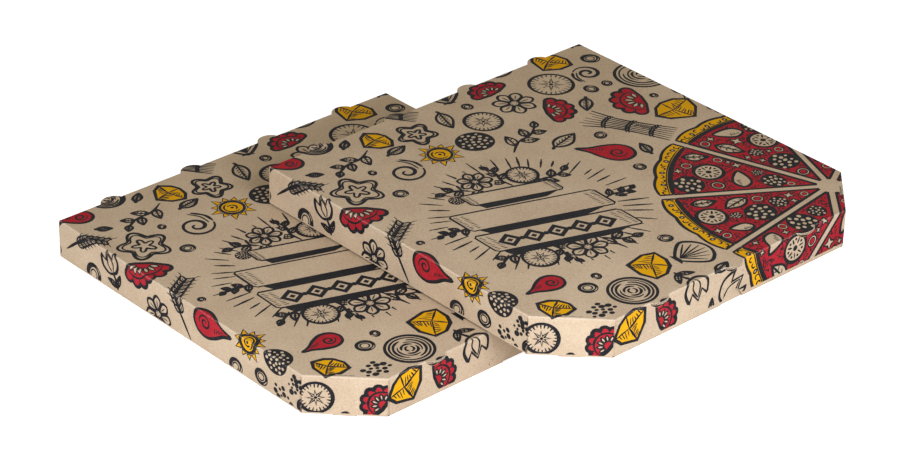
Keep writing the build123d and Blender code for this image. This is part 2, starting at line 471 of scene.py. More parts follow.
def fan(size):
    count = 6
    rim = []
    for i in range(count):
        middle = 180 * (i + 0.5) / count
        x, y = polar(size * 0.86, math.radians(middle))
        rim += arc(x, y, size * 0.24, middle - 82, 164, count=7)
    outline(rim + scaled([(-0.3, -0.16), (0.3, -0.16)], size), 1.5, "red")
    brush(arc(0, 0, size * 0.72, 4, 172), 0.9)
    seed = scaled([(0.24, 0), (0.45, 0.085), (0.62, 0), (0.45, -0.085)], size)
    for i in range(count):
        kept = held(0, -size * 0.05, 180 * (i + 0.5) / count)
        outline(smooth(seed, True, 4), 0.6, "bare")
        pen.update(kept)
    for i in range(1, count):
        brush([polar(size * reach, math.pi * i / count) for reach in (0.74, 0.86, 0.98)], 0.7)


def gem(size):
    edge = scaled([
        (-0.1, 0.78), (-0.55, 0.6), (-1, 0.12), (-0.72, -0.35),
        (0.12, -0.85), (0.72, -0.3), (0.95, 0.34), (0.5, 0.7),
    ], size)
    top, left, low, right = edge[::2]
    mid = (-size * 0.12, size * 0.06)
    outline(edge, 1.5, "mustard")
    for end in (top, left, right, low):
        brush([mid, [(p + q) / 2 for p, q in zip(mid, end)], end], 0.95)
    rungs([mid, low] + scaled([(0.4, 0.2), (0.42, -0.5)], size), 7)
    rungs([mid, right] + scaled([(0.1, 0.5), (0.6, 0.6)], size), 6)
    rungs([mid, left] + scaled([(-0.2, -0.5), (-0.72, -0.25)], size), 5)


def sun(size):
    count = 11
    for i in range(count):
        kept = held(0, 0, 360 * i / count)
        outline(scaled([(0.6, -0.15), (1.0 if i % 2 else 0.86, 0), (0.6, 0.15)], size), 0.8, "mustard")
        pen.update(kept)
    outline(arc(0, 0, size * 0.5), 1.35, "mustard")
    brush(arc(0, 0, size * 0.34, 20, 200), 0.8)
    brush(arc(0, 0, size * 0.2, 200, 210), 0.8)
    field("black", arc(0, 0, size * 0.08, count=8))


def flower(size):
    petals = 7
    petal = scaled([(0.24, -0.06), (0.7, -0.27), (0.97, 0), (0.7, 0.27), (0.24, 0.06)], size)
    for i in range(petals):
        kept = held(0, 0, 360 * i / petals)
        outline(smooth(petal, True, 4), 1.1)
        brush(scaled([(0.34, 0), (0.55, 0), (0.74, 0)], size), 0.6)
        pen.update(kept)
    outline(arc(0, 0, size * 0.24, count=18), 1.1, "bare")
    for i in range(5):
        x, y = polar(size * 0.12, i * 1.26)
        field("black", arc(x, y, 0.6, count=6))


def blossom(size):
    for share, width, wave in ((1.0, 1.35, 0.17), (0.82, 0.75, 0.17), (0.46, 1.0, 0.3)):
        loop = []
        for i in range(60):
            turn = 2 * math.pi * i / 60
            swell = 1 - wave + wave * math.cos(5 * turn) + 0.03 * math.sin(2 * turn)
            loop.append(polar(size * share * swell, turn))
        brush(loop, width, True)


def pebbles(size, count=24):
    field("black", arc(0, 0, size, squash=0.94))
    for i in range(count):
        x, y = polar(size * 0.84 * math.sqrt((i + 0.4) / count), i * goldenAngle, 0.94)
        radius = size * chance.uniform(0.38, 0.58) / math.sqrt(count)
        field("bare", arc(x, y, radius, chance.uniform(0, 90), squash=0.85, count=9))


def compass(size):
    brush(arc(0, 0, size), 1.35, True)
    for i in range(24):
        turn = math.pi * i / 12
        brush([polar(size * reach, turn) for reach in (0.93, 0.85, chance.uniform(0.66, 0.76))], 0.65)
    reaches = (0.6, 0.17, 0.52, 0.17)
    brush([polar(size * reaches[i % 4], math.pi * i / 8) for i in range(16)], 0.9, True)
    field("black", arc(0, 0, size * 0.1, count=9))


def tulip(size):
    cup = [(-0.5, 0.85), (-0.62, 0.3), (-0.35, -0.12), (0, -0.2), (0.35, -0.12), (0.62, 0.3), (0.5, 0.85)]
    tips = [(0.26, 0.5), (0, 0.95), (-0.26, 0.5)]
    outline(smooth(scaled(cup, size)) + scaled(tips, size))
    for way in (-1, 1):
        brush(smooth(scaled([(0, 0.8), (way * 0.2, 0.3), (way * 0.05, -0.1)], size)), 0.75)
        kept = held(0, -size * 0.85, 90 - way * 48)
        leafVeins(size * 0.72, size * 0.24, 1.0, 3)
        pen.update(kept)
    brush(smooth(scaled([(0, -0.2), (0.05, -0.6), (-0.03, -1)], size)), 1.5)


def shell(size):
    edge = [(-0.9, 0.1), (-0.7, 0.62), (-0.25, 0.9), (0.25, 0.9), (0.7, 0.62), (0.9, 0.1)]
    outline(smooth(scaled(edge + [(0.2, -0.75), (-0.2, -0.75)], size), True), 1.35)
    for i in range(7):
        c, s = polar(size, math.radians(38 + 104 * i / 6))
        brush([(0, -size * 0.65), (0.5 * c, 0.75 * s - size * 0.65), (0.95 * c, 1.4 * s - size * 0.65)], 0.8)
    field("black", scaled([(-0.4, -0.9), (0.4, -0.9), (0.2, -0.68), (-0.2, -0.68)], size))


def curl(size):
    brush([polar(size * (0.1 + 0.019 * i), 0.24 * i) for i in range(46)], 1.5)
    for low, high, width in ((-0.98, -0.55, 1.3), (-0.72, -0.36, 0.8)):
        brush(smooth(scaled([(-0.1, low), (0.6, low), (1.25, high)], size)), width)


def bundle(size):
    for i in range(7):
        y = size * (-0.22 + 0.44 * i / 6)
        end = (size * chance.uniform(0.8, 1.0), y * 1.6)
        brush(smooth([(-size, y * 1.3), (-size * 0.3, y), (size * 0.3, y), end]), 1.0 if i in (0, 6) else 0.7)
    for x in (-0.62, -0.1, 0.42):
        for shift in (0, 0.06):
            brush(arc(size * (x + shift - 0.5), 0, size * 0.56, -31, 62), 1.0)
    rungs(scaled([(-0.55, -0.15), (-0.15, -0.15), (-0.5, 0.02), (-0.12, 0)], size), 9)


print("stage: pen ready")


emblem = {
    "x": -60.0,
    "y": -17.0,
    "reach": 96.0,
    "tilt": -19.0,
    "rays": 52,
    "slant": 0.3,              # how far the end of a plate leans, as a share of its height
    "sprigs": (                # x, y, turn and size
        (-42, 50, 168, 24), (-6, 64, 95, 20), (34, 48, 14, 24), (-44, -58, 200, 24), (-6, -68, -80, 19),
        (38, -60, -20, 26), (-74, -8, 184, 17), (76, 4, 6, 17),
    ),
    "rounds": (                # x, y, motif and size
        (-26, 61, flower, 15), (14, 58, compass, 13), (-27, -67, compass, 14), (14, -66, flower, 17),
        (34, -48, pebbles, 8), (-52, 38, pebbles, 7),
    ),
    # Of each plate: x, y, half its width and height, and the depth of its shade.
    "plates": ((-6, 34, 40, 9, 7), (4, -34, 63, 14, 8), (-2, 2, 63, 14, 8)),
    "lozenges": {"x": -38.0, "y": -34.5, "apart": 20.5, "reach": 10.5, "dotX": -27.7, "dot": 2.6},
}


# A closed shape with its corners cut short.
def clipped(corners, cut):
    found = []
    for i, corner in enumerate(corners):
        for other in (corners[i - 1], corners[(i + 1) % len(corners)]):
            share = cut / math.dist(corner, other)
            found.append(tuple(p + (q - p) * share for p, q in zip(corner, other)))
    return found


# A blank slanted plate with a heavy shade under its lower edge and hatching at its ends.
def drawPlate(x, y, wide, tall, shade):
    kept = held(x, y)
    lean = emblem["slant"] * tall
    dark = [(-wide * 0.86, -tall * 0.9), (-wide * 0.72, -tall - shade), (wide * 0.6, -tall - shade * 0.9)]
    field("black", dark + [(wide * 0.98, -tall * 0.9)])
    body = [(-wide + lean, -tall), (wide + lean, -tall), (wide - lean, tall), (-wide - lean, tall)]
    outline(clipped(body, 2.5), 0.95, "bare")
    for end in (-1, 1):
        for share in (0.97, 0.88):
            middle, inward = end * wide * share, -end * wide * 0.07
            low, high = (middle + lean * 0.8, -tall * 0.8), (middle - lean * 0.8, tall * 0.8)
            rungs([low, high, (low[0] + inward, low[1]), (high[0] + inward, high[1])], 9, 0.5)
    pen.update(kept)


def drawEmblem():
    pen.update(x=emblem["x"], y=emblem["y"], turn=math.radians(emblem["tilt"]))
    reach = emblem["reach"]
    for i in range(emblem["rays"]):
        turn = 2 * math.pi * (i + chance.uniform(-0.2, 0.2)) / emblem["rays"]
        inner, outer = chance.uniform(0.7, 0.78), chance.uniform(0.88, 1.0)
        brush([polar(reach * share, turn) for share in (inner, (inner + outer) / 2, outer)], 1.05)
    for x, y, turn, size in emblem["sprigs"]:
        kept = held(x, y, turn)
        sprig(size)
        pen.update(kept)
    for x, y, draw, size in emblem["rounds"]:
        kept = held(x, y)
        field("bare", arc(0, 0, size * 1.04))
        draw(size)
        pen.update(kept)
    for plate in emblem["plates"]:
        drawPlate(*plate)
    # Lozenges stand in the lower plate, with a dot between each two.
    row = emblem["lozenges"]
    for i in range(5):
        for share, ink in ((1.0, "black"), (0.5, "bare"), (0.26, "black")):
            lozenge = [polar(row["reach"] * share, quarter * turn) for turn in range(4)]
            field(ink, [(x + row["x"] + row["apart"] * i, y + row["y"]) for x, y in lozenge])
        if i < 4:
            field("black", arc(row["apart"] * i + row["dotX"], row["y"], row["dot"], count=12))


wheel = {
    "x": 150.0,
    "y": -140.0,
    "reach": 142.0,
    "sectors": 9,
    "gap": 7.0,
    "rim": 14.0,
    "scallop": 2.0,            # height of the three waves that each sector's rim has
    "rimLines": (1.6, 4.0),    # where the rim starts, and its inner line
    "rimMarks": 13,
    "turn": 8.0,
    "hub": 5.0,                # no piece has its middle nearer to a sector's tip
    "clear": 0.7,              # bare red left between two of its pieces
    "tries": 130,
    "strokes": 1100,
    "strokeLength": 1.7,
    "strokeRoom": 0.6,
    "strokeClear": 1.0,
    "strokeEdge": 1.2,
    "weight": 2.1,
}


def wheelRing(radius):
    field("black", arc(0, 0, radius, squash=0.9, count=20))
    brush(arc(0, 0, radius * 0.68, squash=0.9, count=20), 0.4, True, ink="bare")
    field("red", arc(0, 0, radius * 0.42, squash=0.9, count=12))


def wheelDrop(radius):
    edge = [(-1, 0), (-0.3, 0.45), (0.5, 0.56), (1.05, 0), (0.5, -0.56), (-0.3, -0.45)]
    outline(smooth(scaled(edge, radius), True, 4), 1.3, "bare")
    rungs(scaled([(0.1, -0.4), (0.8, -0.2), (0.1, 0), (0.7, 0)], radius), 5, 0.5)


def wheelLeaf(radius):
    kept = held(-radius, 0)
    leafVeins(radius * 2, radius * 1.05, 1.2, 3, "bare")
    pen.update(kept)


def wheelPebbles(radius):
    pebbles(radius, 13)


def wheelFlower(radius):
    outline(arc(0, 0, radius * 0.95, count=24), 1.5, "bare")
    for i in range(7):
        turn = 2 * math.pi * i / 7
        brush([polar(radius * reach, turn) for reach in (0.32, 0.5, 0.72)], 0.9)
        x, y = polar(radius * 0.62, turn + 0.45)
        field("black", arc(x, y, radius * 0.1, count=7))
    field("black", arc(0, 0, radius * 0.2, count=9))


def wheelStar(radius):
    outline([polar(radius * (1.0 if i % 2 else 0.5), math.pi * i / 4) for i in range(8)], 0.9, "bare")


wheelPieces = [
    (wheelPebbles, 14), (wheelFlower, 13), (wheelDrop, 13), (wheelLeaf, 13), (wheelPebbles, 11),
    (wheelFlower, 11), (wheelLeaf, 11), (wheelDrop, 10), (wheelPebbles, 9), (wheelLeaf, 9), (wheelRing, 7),
    (wheelFlower, 8), (wheelRing, 6), (wheelPebbles, 7), (wheelDrop, 8), (wheelRing, 5), (wheelLeaf, 7),
    (wheelStar, 6), (wheelPebbles, 5.5), (wheelStar, 5), (wheelRing, 4.5), (wheelStar, 4.5), (wheelLeaf, 5),
    (wheelStar, 4), (wheelRing, 4), (wheelStar, 4), (wheelStar, 3.5), (wheelStar, 3.5),
]


def sketch(draw, size):
    first = len(drawing)
    kept = dict(pen)
    pen.update(x=0.0, y=0.0, turn=0.0)
    draw(size)
    pen.update(kept)
    fields = drawing[first:]
    del drawing[first:]
    return fields


def stamp(fields, x, y, turn):
    kept = held(x, y, math.degrees(turn))
    for ink, corners in fields:
        field(ink, corners)
    pen.update(kept)


# Circles in a row along a motif's longer side, which stand for the room that it takes.
def roomOf(fields):
    lowX, lowY, highX, highY = bounds2d([p for _, corners in fields for p in corners])
    wide, tall = (highX - lowX) / 2, (highY - lowY) / 2
    radius, spare = min(wide, tall), abs(wide - tall)
    count = 1 + math.ceil(spare / radius - 0.25)
    found = []
    for i in range(count):
        shift = spare * (2 * i / max(count - 1, 1) - 1) if count > 1 else 0.0
        along = (shift, 0.0) if wide > tall else (0.0, shift)
        found.append(((lowX + highX) / 2 + along[0], (lowY + highY) / 2 + along[1], radius))
    return found


# Tries places for a motif and keeps the tightest, or the freest. Margin gives how far a point is
# from what bounds the drawing.
def findRoom(fields, pick, margin, taken, gap, tries, freest=False):
    rooms = roomOf(fields)
    best = None
    for _ in range(tries):
        x, y, turn = pick()
        c, s = math.cos(turn), math.sin(turn)
        circles = [(x + c * px - s * py, y + s * px + c * py, r) for px, py, r in rooms]
        away = min(margin(px, py) - r for px, py, r in circles)
        for px, py, r in circles:
            if away < gap:
                break
            for qx, qy, q in taken:
                away = min(away, math.hypot(px - qx, py - qy) - q - r)
                if away < gap:
                    break
        if away >= gap and (best is None or (away > best[0]) == freest):
            best = (away, x, y, turn, circles)
    if best:
        taken += best[4]
    return best


# One sector of the wheel. Its axis points along +X from the hub.
def drawSector(half):
    gap, rim, reach, scallop = wheel["gap"] / 2, wheel["rim"], wheel["reach"], wheel["scallop"]
    start = gap / math.sin(half) + 1
    edge = reach - rim

    def side(distance):
        return half - math.asin(min(1.0, gap / distance))

    def bow(distance, count):
        return [polar(distance, side(distance) * (2 * i / count - 1)) for i in range(count + 1)]

    spots = [start + (edge - start) * i / 9 for i in range(10)]
    lower = [polar(r, -side(r)) for r in spots]
    upper = [polar(r, side(r)) for r in reversed(spots)]
    outline(lower + bow(edge, 14)[1:-1] + upper, 1.3, "red")
    waves, steps = [], 36      # three scallops
    for i in range(steps + 1):
        bump = scallop * abs(math.sin(3 * math.pi * i / steps))
        waves.append(polar(reach - scallop + bump, side(reach) * (1 - 2 * i / steps)))
    first, second = wheel["rimLines"]
    outline(bow(edge + first, 24) + waves, 1.3, "mustard")
    brush(bow(edge + second, 20), 0.6)
    marks = wheel["rimMarks"]
    for i in range(marks):
        distance = edge + rim * 0.52 + chance.uniform(-0.8, 0.8)
        x, y = polar(distance, side(edge) * (2 * (i + 0.5) / marks - 1))
        if i % 3 == 1:
            outline(arc(x, y, 1.9, squash=0.8, count=10), 0.7, "bare")
        else:
            brush(arc(x, y, 2.2, chance.uniform(0, 360), 210, count=9), 0.7)
    hub = wheel["hub"]

    def pick():
        distance = start + hub + (edge - start - hub) * math.sqrt(chance.random())
        x, y = polar(distance, side(distance) * chance.uniform(-1, 1))
        return x, y, chance.uniform(0, 2 * math.pi)

    def margin(x, y):
        distance = math.hypot(x, y)
        return min(edge - distance, (half - abs(math.atan2(y, x))) * distance - gap, distance - start)

    taken = []
    for draw, radius in wheelPieces:
        fields = sketch(draw, radius)
        found = findRoom(fields, pick, margin, taken, wheel["clear"], wheel["tries"])
        if found:
            stamp(fields, *found[1:4])
    long = wheel["strokeLength"]
    for _ in range(wheel["strokes"]):
        x, y, way = pick()
        free = min([math.hypot(x - p, y - q) - r for p, q, r in taken] + [margin(x, y) - wheel["strokeEdge"]])
        if free > wheel["strokeClear"]:
            taken.append((x, y, wheel["strokeRoom"]))
            ends = polar(long, way), (0.0, 0.0), polar(long, way + chance.uniform(1.9, 4.4))
            brush(ends, 0.6, tips=0.7, at=(x, y))


def drawWheel():
    half = math.pi / wheel["sectors"]
    groups = []
    kept = dict(pen)
    for i in range(wheel["sectors"]):
        first = len(drawing)
        turn = math.radians(wheel["turn"]) + 2 * half * i
        pen.update(x=wheel["x"], y=wheel["y"], turn=turn, weight=wheel["weight"])
        drawSector(half)
        groups.append(drawing[first:])
    pen.update(kept)
    return groups


small = {
    "edgeX": 205.0,
    "edgeFront": -205.0,
    "edgeBack": 200.0,
    "cornerReach": 50.0,       # how far past a cut corner, along x or y, a motif may have its middle
    "backWall": (182.0, 178.0),     # past the first, a motif keeps its middle within the second
    "gap": 3.0,
    "inkApart": 56.0,          # between two motifs that hold the same coloured ink
    "tries": 420,
    "large": [
        (bundle, 40), (fan, 23), (gem, 22), (wheat, 34), (sprig, 29), (fan, 21), (ripple, 23),
        (droplet, 24), (blossom, 22), (gem, 20), (tulip, 24), (fan, 20), (shell, 19), (sun, 20),
        (droplet, 22), (compass, 19), (gem, 19), (flower, 19), (fan, 19), (curl, 16), (pebbles, 17),
        (droplet, 20), (ripple, 19), (gem, 18), (sprig, 26), (tulip, 20), (fan, 18), (blossom, 18),
        (sun, 17), (wheat, 28), (droplet, 18), (shell, 16), (compass, 16), (gem, 16), (ripple, 17),
        (fan, 16), (flower, 16), (bundle, 30), (sprig, 22), (droplet, 17), (pebbles, 14), (gem, 15),
        (curl, 13), (fan, 15), (tulip, 17), (shell, 14), (droplet, 15), (ripple, 14), (compass, 13),
        (flower, 13),
    ],
    "little": [(leaf, 16), (speckle, 14), (ring, 10), (leaf, 15), (droplet, 14)] + [
        (draw, size * (1 - 0.06 * step))
        for step in range(10) for draw, size in ((leaf, 16), (ring, 9), (leaf, 14), (speckle, 13), (ring, 8))
    ],
}


def spreadMotifs():
    taken, groups = [], []
    inked = {"red": [], "mustard": []}
    reach = halfWidth + halfDepth - box["cornerCut"] + small["cornerReach"]
    wallY, wallX = small["backWall"]

    def pick():
        while True:
            x = chance.uniform(-small["edgeX"], small["edgeX"])
            y = chance.uniform(small["edgeFront"], small["edgeBack"])
            if abs(x) - min(0.0, y) < reach and (y < wallY or abs(x) < wallX):
                return x, y, chance.uniform(0, 2 * math.pi)

    def margin(x, y):
        if any(math.hypot(x - p, y - q) <= small["inkApart"] for p, q in inked.get(ink, [])):
            return -1.0
        return min(math.hypot(x - large["x"], y - large["y"]) - large["reach"] for large in (wheel, emblem))

    for freest, kinds in ((False, small["large"]), (True, small["little"])):
        for draw, radius in kinds:
            fields = sketch(draw, radius)
            ink = next((ink for ink, _ in fields if ink in inked), None)
            found = findRoom(fields, pick, margin, taken, small["gap"], small["tries"], freest)
            if found:
                pen.update(x=0.0, y=0.0, turn=0.0)
                first = len(drawing)
                stamp(fields, *found[1:4])
                groups.append(drawing[first:])
                if ink:
                    inked[ink].append(found[1:3])
    left = len(small["large"]) + len(small["little"]) - len(groups)
    print("stage:", len(groups), "small motifs placed,", left, "left out")
    return groups


def drawBlank():
    drawEmblem()
    return [list(drawing)] + drawWheel() + spreadMotifs()


blank = drawBlank()
print("stage: blank drawn,", len(blank), "motifs,", sum(len(group) for group in blank), "fields")


# From the flat blank to the folded box.
inkRise = 0.05                 # the ink lies this far above the liner
liftOff = {"side": 1.0, "front": 3.0, "back": 3.0}      # bare margin at each wall's lower edge
inkPlay = {
    "round": 0.25,             # bare margin round each half-round tongue
    "opening": 0.2,            # round each vent and the notch
    "tongueBack": 1.2,         # how far the gap behind a back tongue reaches past it
    "slit": 0.1,
    "slitNear": 0.15,
}
lowest = box["height"] - fold - box["hem"] + fold * quarter
foldPast = 3.4                 # the print laid round the hinge fold reaches this far down the back wall
foldBefore = 2.5               # and this far onto the lid
foldBare = 0.3                 # the ink is worn off this far to each side of the fold's middle


def foldFrame(name):
    if name in ("left", "right"):
        way = -1 if name == "left" else 1
        return (way * (halfWidth - fold), 0.0), (way, 0.0), fold
    if name == "front":
        return (0.0, -halfDepth + fold), (0.0, -1.0), fold
    if name in ("cornerLeft", "cornerRight"):
        way = -1 if name == "cornerLeft" else 1
        unit = (way * math.sqrt(0.5), -math.sqrt(0.5))
        x = way * (halfWidth - box["cornerCut"] / 2)
        y = -halfDepth + box["cornerCut"] / 2
        return (x - unit[0] * fold, y - unit[1] * fold), unit, fold
    return (0.0, hingeY), (0.0, 1.0), halfBoard


# A point of the flat blank, on the panel that hangs from a fold.
def folded(point, name, rise=inkRise):
    if name == "top" or name.startswith("tongue"):
        return (point[0], point[1], box["height"] + rise)
    (x0, y0), (ox, oy), radius = foldFrame(name)
    out = (point[0] - x0) * ox + (point[1] - y0) * oy
    x, y = point[0] - ox * out, point[1] - oy * out
    if out <= 0:
        reach, z = out, box["height"] + rise
    elif out < radius * quarter:
        turn = out / radius
        reach = (radius + rise) * math.sin(turn)
        z = box["height"] - radius + (radius + rise) * math.cos(turn)
    else:
        reach, z = radius + rise, box["height"] - radius - (out - radius * quarter)
    return (x + ox * reach, y + oy * reach, z)


def strip(name, along, out):
    (x0, y0), (ox, oy), _ = foldFrame(name)
    ends = ((along[0], out[0]), (along[1], out[0]), (along[1], out[1]), (along[0], out[1]))
    corners = [(x0 + ox * o - oy * a, y0 + oy * o + ox * a) for a, o in ends]
    return corners if areaOf(corners) > 0 else corners[::-1]


def halfRound(x, y, radius, past, way):
    half = math.acos(abs(past - y) / radius)
    turns = [way * quarter - half + half * i / 8 for i in range(17)]
    return [(x + radius * math.cos(t), y + radius * math.sin(t)) for t in turns]


def slab(lowX, lowY, highX, highY):
    return [(lowX, lowY), (highX, lowY), (highX, highY), (lowX, highY)]


# The lid's outline, seen from above, with its front corners cut.
def planOf(x, y, cut, back):
    return [(-x, -y + cut), (-x + cut, -y), (x - cut, -y), (x, -y + cut), (x, back), (-x, back)]


# Where ink can lie on the blank, first the parts that win. A hole takes none.
def panels():
    x, y = halfWidth - fold, halfDepth - fold
    found = []
    ground = fold - y - fold * quarter - box["height"]      # where the front wall would meet the ground
    for spot in vents:
        hood = halfRound(spot, -halfDepth + box["hoodInset"], box["hoodRadius"] - inkPlay["round"], -y, -1)
        vent = halfRound(spot, ground + box["ventCentre"], box["ventRadius"] + inkPlay["opening"], -y, -1)
        found += [("tongueFront", hood), ("hole", vent)]
    found.append(("hole", arc(0, ground + box["notchCentre"], box["notchRadius"] + inkPlay["opening"])))
    centre, radius = halfDepth - box["tongueInset"], box["tongueRadius"] - inkPlay["round"]
    found += [("tongueBack", halfRound(spot, centre, radius, hingeY, 1)) for spot in backTongues]
    behind = centre + inkPlay["tongueBack"]
    radius = box["tongueRadius"] + box["tonguePlay"] + inkPlay["round"]
    found += [("hole", halfRound(spot, behind, radius, hingeY, 1)) for spot in backTongues]
    half = box["slitWidth"] / 2 + inkPlay["slit"]
    slit = (fold - box["slitFar"] - inkPlay["slit"], fold - box["slitNear"] + inkPlay["slitNear"])
    found += [("hole", strip(name, (-half, half), slit)) for name in ("cornerLeft", "cornerRight")]
    wall = lowest - liftOff["side"]
    side = halfDepth - box["cornerCut"]
    found.append(("left", slab(-x - wall, -side, -x, hingeY)))
    found.append(("right", slab(x, -side, x + wall, hingeY)))
    half = halfWidth - box["cornerCut"]
    found.append(("front", slab(-half, -y - lowest + liftOff["front"], half, -y)))
    corner = box["cornerCut"] / math.sqrt(2)
    found += [(name, strip(name, (-corner, corner), (0.0, wall))) for name in ("cornerLeft", "cornerRight")]
    inner = halfWidth - box["trayInset"]
    bent = hingeY + halfBoard * quarter
    low, high = bent + foldPast, bent + hingeZ - liftOff["back"]
    near, far = ((hingeY + bent) / 2 + way * foldBare for way in (-1, 1))
    cut = box["cornerCut"] - fold * (2 - math.sqrt(2))
    return found + [
        ("hole", slab(-inner, near, inner, far)),
        ("fold", slab(-inner, hingeY - foldBefore, inner, low)),
        ("back", slab(-inner, low, inner, high)),
        ("top", planOf(x, y, cut, hingeY)),
    ]


def creaseLines():
    found = []
    corner = box["cornerCut"] / math.sqrt(2) + 1
    lengths = {"left": halfDepth, "right": halfDepth, "front": halfWidth, "back": halfWidth}
    lengths.update({"cornerLeft": corner, "cornerRight": corner})
    for name, along in lengths.items():
        (x0, y0), (ox, oy), radius = foldFrame(name)
        for i in range(5):
            out = radius * quarter * i / 4
            found.append([(x0 + ox * out - oy * a, y0 + oy * out + ox * a) for a in (-along, along)])
    return found


allPanels = panels()
allCreases = creaseLines()
spillPlay = (1.02, 0.02)       # share and square millimetres by which a patch may outgrow its outline


def meet(a, b):
    return a[0] <= b[2] and b[0] <= a[2] and a[1] <= b[3] and b[1] <= a[3]


def inside(point, corners):
    found = False
    for a, b in zip(corners, corners[1:] + corners[:1]):
        if (a[1] > point[1]) != (b[1] > point[1]):
            if point[0] < a[0] + (point[1] - a[1]) / (b[1] - a[1]) * (b[0] - a[0]):
                found = not found
    return found


# An outline that crosses itself spills over its own edge, so its patches are found again by their
# middles.
def mendSpills(where, found, owners, outlines):
    sizes = {}
    for corners, ids in zip(found, owners):
        patch = areaOf([where[i] for i in corners])
        for i in ids:
            sizes[i] = sizes.get(i, 0.0) + patch
    share, spare = spillPlay
    spilt = [i for i, size in sizes.items() if size > areaOf(outlines[i]) * share + spare]
    boxes = {i: bounds2d(outlines[i]) for i in spilt}
    for corners, ids in zip(found, owners if spilt else []):
        middle = [sum(where[i][k] for i in corners) / len(corners) for k in (0, 1)]
        for i in spilt:
            covered = meet(boxes[i], middle + middle) and inside(middle, outlines[i])
            if covered and i not in ids:
                ids.append(i)
            elif not covered and i in ids:
                ids.remove(i)


# Cuts one motif along the panels' outlines and folds, keeps the uppermost ink of each patch, and
# hands each patch to the panel that carries it.
def layMotif(group, hidden, patches):
    size = bounds2d([p for _, corners in group for p in corners])
    nearby = [(name, corners) for name, corners in allPanels if meet(size, bounds2d(corners))]
    if hidden and meet(size, bounds2d(hidden)):
        nearby = [("hole", hidden)] + nearby
    points, faces, edges = [], [], []
    for _, corners in group + nearby:
        faces.append(list(range(len(points), len(points) + len(corners))))
        points += [Vector(p) for p in corners]
    for ends in allCreases:
        if meet(size, bounds2d(ends)):
            edges.append((len(points), len(points) + 1))
            points += [Vector(p) for p in ends]
    where, _, found, _, _, owners = delaunay_2d_cdt(points, edges, faces, 1, 1e-5, True)
    owners = [list(ids) for ids in owners]
    mendSpills(where, found, owners, [corners for _, corners in group + nearby])
    for corners, ids in zip(found, owners):
        paint = [i for i in ids if i < len(group)]
        panel = [i for i in ids if i >= len(group)]
        if not paint or not panel or group[max(paint)][0] == "bare":
            continue
        ink = group[max(paint)][0]
        name = nearby[min(panel) - len(group)][0]
        if name == "hole":
            continue
        side = name if name in ("fold", "back") else "lid"
        shape = "back" if name == "fold" else name
        patch = patches.setdefault((side, ink), {"index": {}, "points": [], "faces": []})
        face = []
        for corner in corners:
            key = (id(group), shape, corner)
            if key not in patch["index"]:
                patch["index"][key] = len(patch["points"])
                patch["points"].append(folded(where[corner], shape))
            face.append(patch["index"][key])
        patch["faces"].append(face)


def meshPiece(name, points, faces, material, place=(0, 0, 0)):
    mesh = bpy.data.meshes.new(name)
    mesh.from_pydata([metres(p, place) for p in points], [], faces)
    mesh.materials.append(material)
    piece = bpy.data.objects.new(name, mesh)
    bpy.context.scene.collection.objects.link(piece)
    return piece


underBox = {"side": 1.0, "corner": 3.0}     # what is hidden starts this far inside the upper box


# What lies under the upper box takes no ink, so that nothing is squeezed between the two.
def under(place):
    side, cut = underBox["side"], box["cornerCut"] + underBox["corner"]
    x, y = halfWidth - box["trayInset"] - side, halfDepth - side
    return [(px + place[0], py + place[1]) for px, py in planOf(x, y, cut, y)]


# A piece on the hinge fold has its place baked into its mesh and joins no body.
def blendFold(piece):
    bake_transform(piece)


def printBox(label, place, hidden, bodies):
    patches = {}
    for group in blank:
        layMotif(group, hidden, patches)
    total = 0
    for (side, ink), patch in sorted(patches.items()):
        name = label + "_" + side + "_" + ink + "_print"
        piece = meshPiece(name, patch["points"], patch["faces"], inks[ink], place)
        total += len(patch["faces"])
        if bodies[side] == "blend":
            blendFold(piece)
        else:
            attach(piece, bodies[side])
    print("stage:", label, "printed with", total, "triangles")


printBox("lower_box", lowerPlace, under(upperPlace), {"lid": "stack", "fold": "stack", "back": "stack"})
printBox("upper_box", upperPlace, None, {"lid": "upper_lid", "fold": "blend", "back": "stack"})


# The cut edges of the board: two liners with the wavy sheet between them, over the shade inside.
cutEdges = {
    "Liner": 0.26,             # thickness of each outer sheet
    "Sheet": 0.24,             # thickness of the wavy one
    "Swing": 0.44,             # how far it swings to each side
    "Step": 0.4,
    "proud": 0.2,
    "proudTray": 0.07,         # the tray's walls end just under the lid
    "shade": 0.02,
    "sunk": 0.01,              # on the vents' rims the sheets stay under the shade band, so each rim shows only painted shade
    "rimShort": 0.05,          # the angle by which a tongue's rim ends before its fold
    "backShort": 2.0,          # the side wall's back edge ends this far under the top
}
edgePaths = {"stack": [], "upper_lid": []}


def addPath(body, place, points, outward, side, stretch=1.0, proud=cutEdges["proud"]):
    outward = outward if isinstance(outward, list) else [outward] * len(points)
    side = side if isinstance(side, list) else [side] * len(points)
    along = Vector(points[1]) - Vector(points[0])
    if along.cross(Vector(side[0])).dot(Vector(outward[0])) < 0:
        points, outward, side = points[::-1], outward[::-1], side[::-1]
    turns = 2 * math.pi * 1000 / (kraft["flutePitchMm"] * stretch) if stretch else 0.0
    edgePaths[body].append((points, outward, side, turns, proud, place))


# The rim of a half-round tongue in the lid's top panel: x and y are its middle, inset is how far
# that middle lies from the fold.
def tongueRim(body, place, x, y, radius, inset, start):
    half = math.acos(inset / radius) - cutEdges["rimShort"]
    turns = [start + half * (i / 12 - 1) for i in range(25)]
    points = [(x + radius * math.cos(t), y + radius * math.sin(t), hingeZ) for t in turns]
    addPath(body, place, points, [(math.cos(t), math.sin(t), 0) for t in turns], (0, 0, 1))


# The rim of an opening in a front wall.
def wallRim(body, place, x, y, centre, radius, turns, proud):
    points = [(x + radius * math.cos(t), y, centre + radius * math.sin(t)) for t in turns]
    addPath(body, place, points, [(-math.cos(t), 0, -math.sin(t)) for t in turns], (0, -1, 0), 1.0, proud)
